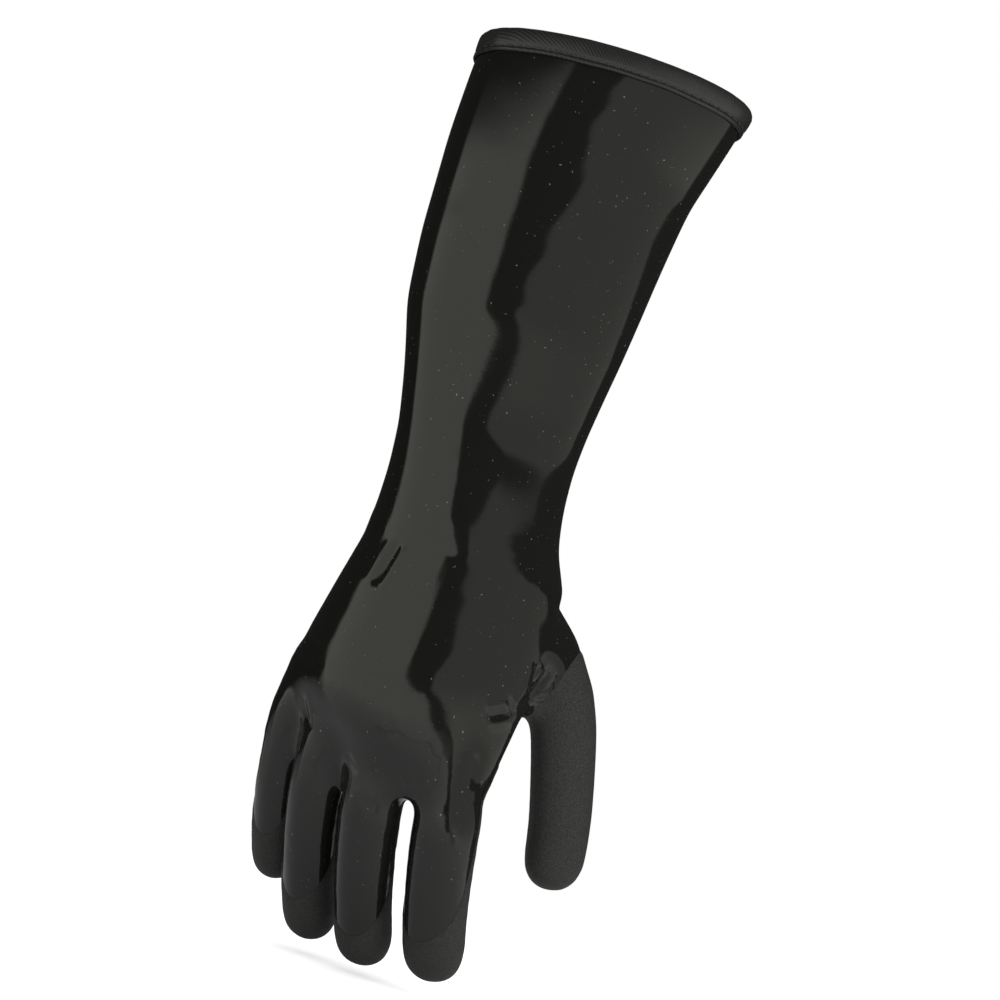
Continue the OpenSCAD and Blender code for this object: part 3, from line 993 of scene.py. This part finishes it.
STITCHES, STITCH_Z = 72, -8.3
verts, faces = [], []
for i in range(STITCHES):
    a0 = 2 * math.pi * (i + 0.21) / STITCHES
    a1 = 2 * math.pi * (i + 0.79) / STITCHES
    p0, n0 = rim_point(a0, STITCH_Z)
    p1, n1 = rim_point(a1, STITCH_Z)
    capsule(p0 + n0 * 1.12, p1 + n1 * 1.12, n0 + n1, 0.3, verts, faces)
me = bpy.data.meshes.new("binding_lockstitches")
me.from_pydata(verts, [], faces)
me.polygons.foreach_set("use_smooth", [True] * len(faces))
me.update()
stitches = bpy.data.objects.new("binding_lockstitches", me)
bpy.context.scene.collection.objects.link(stitches)
finish_piece(stitches, "thread", ("ride", "gauntlet"), ["binding_stitches"])

# ---- Stage ----

floor_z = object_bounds()[0].z - 0.004
FLOOR_RADIUS, FLOOR_SIDES = 1.6, 96
me = bpy.data.meshes.new("floor")
turns = [2 * math.pi * i / FLOOR_SIDES for i in range(FLOOR_SIDES)]
ring = [(FLOOR_RADIUS * math.cos(w), FLOOR_RADIUS * math.sin(w), floor_z) for w in turns]
me.from_pydata(ring, [], [tuple(range(FLOOR_SIDES))])
floor = bpy.data.objects.new("floor", me)
bpy.context.scene.collection.objects.link(floor)
mat, t, s = material("floor")
# Paler to the camera than to the light it throws back, and fading out away from the glove.
sight = node(t, "ShaderNodeLightPath").outputs["Is Camera Ray"]
pale = node(t, "ShaderNodeMapRange")
pale.inputs["To Min"].default_value, pale.inputs["To Max"].default_value = 0.5, 0.9
t.links.new(sight, pale.inputs["Value"])
t.links.new(pale.outputs["Result"], s.inputs["Base Color"])
s.inputs["Roughness"].default_value = 0.9
s.inputs["Specular IOR Level"].default_value = 0.0
s.inputs["Emission Color"].default_value = (1, 1, 1, 1)
glow = node(t, "ShaderNodeMath", operation="MULTIPLY")
t.links.new(sight, glow.inputs[0])
glow.inputs[1].default_value = 0.34
t.links.new(glow.outputs[0], s.inputs["Emission Strength"])
where = node(t, "ShaderNodeTexCoord").outputs["Object"]
flat = node(t, "ShaderNodeVectorMath", operation="MULTIPLY")
t.links.new(where, flat.inputs[0])
flat.inputs[1].default_value = (1, 1, 0)
far = node(t, "ShaderNodeVectorMath", operation="LENGTH")
t.links.new(flat.outputs[0], far.inputs[0])
fade = node(t, "ShaderNodeMapRange")
fade.inputs["From Min"].default_value = 0.15
fade.inputs["From Max"].default_value = 0.8
t.links.new(far.outputs["Value"], fade.inputs["Value"])
clear = node(t, "ShaderNodeBsdfTransparent")
mix = node(t, "ShaderNodeMixShader")
t.links.new(fade.outputs["Result"], mix.inputs["Fac"])
t.links.new(s.outputs[0], mix.inputs[1])
t.links.new(clear.outputs[0], mix.inputs[2])
t.links.new(mix.outputs[0], t.nodes["Material Output"].inputs["Surface"])
floor.data.materials.append(mat)

# World: white to the camera, and a dark studio with large soft boxes to everything glossy.
world = bpy.data.worlds.new("studio")
bpy.context.scene.world = world
world.use_nodes = True
t = world.node_tree
t.nodes.clear()
geo = node(t, "ShaderNodeTexCoord")
split = node(t, "ShaderNodeSeparateXYZ")
t.links.new(geo.outputs["Generated"], split.inputs[0])


def op(kind, a, b=None):
    n = node(t, "ShaderNodeMath", operation=kind)
    for i, v in enumerate((a, b)):
        if v is None:
            continue
        if isinstance(v, (int, float)):
            n.inputs[i].default_value = v
        else:
            t.links.new(v, n.inputs[i])
    return n.outputs[0]


def ramp_between(value, a, b):
    n = node(t, "ShaderNodeMapRange", interpolation_type="SMOOTHSTEP")
    n.inputs["From Min"].default_value = a
    n.inputs["From Max"].default_value = b
    t.links.new(value, n.inputs["Value"])
    return n.outputs["Result"]


def window(value, a, b, edge):
    """1 between a and b, falling off over edge inside both."""
    falling = ramp_between(op("MULTIPLY", value, -1.0), -b, -b + edge)
    return op("MULTIPLY", ramp_between(value, a, a + edge), falling)


# Bearing of a direction round the glove: 0 towards the camera, growing to the thumb side.
bearing = op("ARCTAN2", split.outputs["X"], op("MULTIPLY", split.outputs["Y"], -1.0))
bearing = op("MULTIPLY", bearing, 180 / math.pi)
height = op("MULTIPLY", op("ARCSINE", split.outputs["Z"]), 180 / math.pi)
# The gap between the two boxes: its middle wanders with the height, and it opens out at the top.
rise = op("MAXIMUM", op("SUBTRACT", height, 2.0), 0.0)
depth = op("MULTIPLY", height, -1.0)
drift = op("MULTIPLY", ramp_between(depth, 0, 12), 38.0)
for a, b, turn in ((15, 24, -62.0), (26, 62, -22.0)):
    drift = op("ADD", drift, op("MULTIPLY", ramp_between(depth, a, b), turn))
gap = op("SUBTRACT", bearing, drift)
more = op("MULTIPLY", ramp_between(height, -18, -8), 4.0)
left = op("MULTIPLY", gap, -1.0)
left = ramp_between(op("SUBTRACT", left, more), 18, 22)
left = op("MULTIPLY", left, ramp_between(bearing, -100, -94))
left = op("MULTIPLY", left, ramp_between(op("MULTIPLY", height, -1.0), -17, -8))
right = ramp_between(op("SUBTRACT", op("SUBTRACT", gap, more), op("MULTIPLY", rise, 1.8)), -9, -5)
side = op("ADD", bearing, op("MULTIPLY", rise, 4.0))
right = op("MULTIPLY", right, ramp_between(op("MULTIPLY", side, -1.0), -118, -112))
right = op("MULTIPLY", right, window(height, -75, 15, 4))
dim = op("SUBTRACT", 1.0, op("MULTIPLY", ramp_between(height, -12, 2), 0.5))
boxes = op("ADD", left, op("MULTIPLY", right, dim))
paths = node(t, "ShaderNodeLightPath")
glossy = op("ADD", op("MULTIPLY", boxes, 0.95), 0.02)
white = node(t, "ShaderNodeBackground", Color=(1, 1, 1, 1), Strength=1.0)
soft = node(t, "ShaderNodeBackground", Color=(1, 1, 1, 1))
above = op("ADD", op("MULTIPLY", ramp_between(height, -40, 40), 0.5), 0.55)
t.links.new(above, soft.inputs["Strength"])
shine = node(t, "ShaderNodeBackground", Color=(1, 1, 0.92, 1))
t.links.new(glossy, shine.inputs["Strength"])
one = node(t, "ShaderNodeMixShader")
t.links.new(paths.outputs["Is Glossy Ray"], one.inputs["Fac"])
t.links.new(soft.outputs[0], one.inputs[1])
t.links.new(shine.outputs[0], one.inputs[2])
two = node(t, "ShaderNodeMixShader")
t.links.new(paths.outputs["Is Camera Ray"], two.inputs["Fac"])
t.links.new(one.outputs[0], two.inputs[1])
t.links.new(white.outputs[0], two.inputs[2])
out = node(t, "ShaderNodeOutputWorld")
t.links.new(two.outputs[0], out.inputs["Surface"])

key = bpy.data.lights.new("key", "AREA")
key.energy, key.size, key.size_y, key.shape = 9.0, 0.5, 0.9, "RECTANGLE"
lamp = bpy.data.objects.new("key", key)
lamp.location = (0.75, -0.75, 0.1)
lamp.rotation_euler = (Vector((0, 0, -0.2)) - lamp.location).to_track_quat("-Z", "Y").to_euler()
lamp.visible_glossy = False
bpy.context.scene.collection.objects.link(lamp)

# ---- Camera: level with the glove's middle, turned so that the cuff leans to the right ----

cam = bpy.data.cameras.new("camera")
cam.sensor_width = 36
camera = bpy.data.objects.new("camera", cam)
bpy.context.scene.collection.objects.link(camera)
bpy.context.scene.camera = camera
DISTANCE, TURN, RISE, ROLL = 900.0, 3.0, -5.0, 17.0
VIEW_WIDTH = 1000 / 2.437
target = Vector((8, 0, -190)) / 1000
a, e = math.radians(TURN), math.radians(RISE)
back = Vector((math.sin(a) * math.cos(e), -math.cos(a) * math.cos(e), math.sin(e)))
camera.location = target + back * DISTANCE / 1000
turn = (-back).to_track_quat("-Z", "Y")
camera.rotation_mode = "QUATERNION"
camera.rotation_quaternion = turn @ Quaternion((0, 0, 1), math.radians(ROLL))
cam.lens = cam.sensor_width * DISTANCE / VIEW_WIDTH
cam.shift_x, cam.shift_y = -0.002, 0.015
cam.clip_start = 0.01
bpy.context.scene.view_settings.view_transform = "Standard"
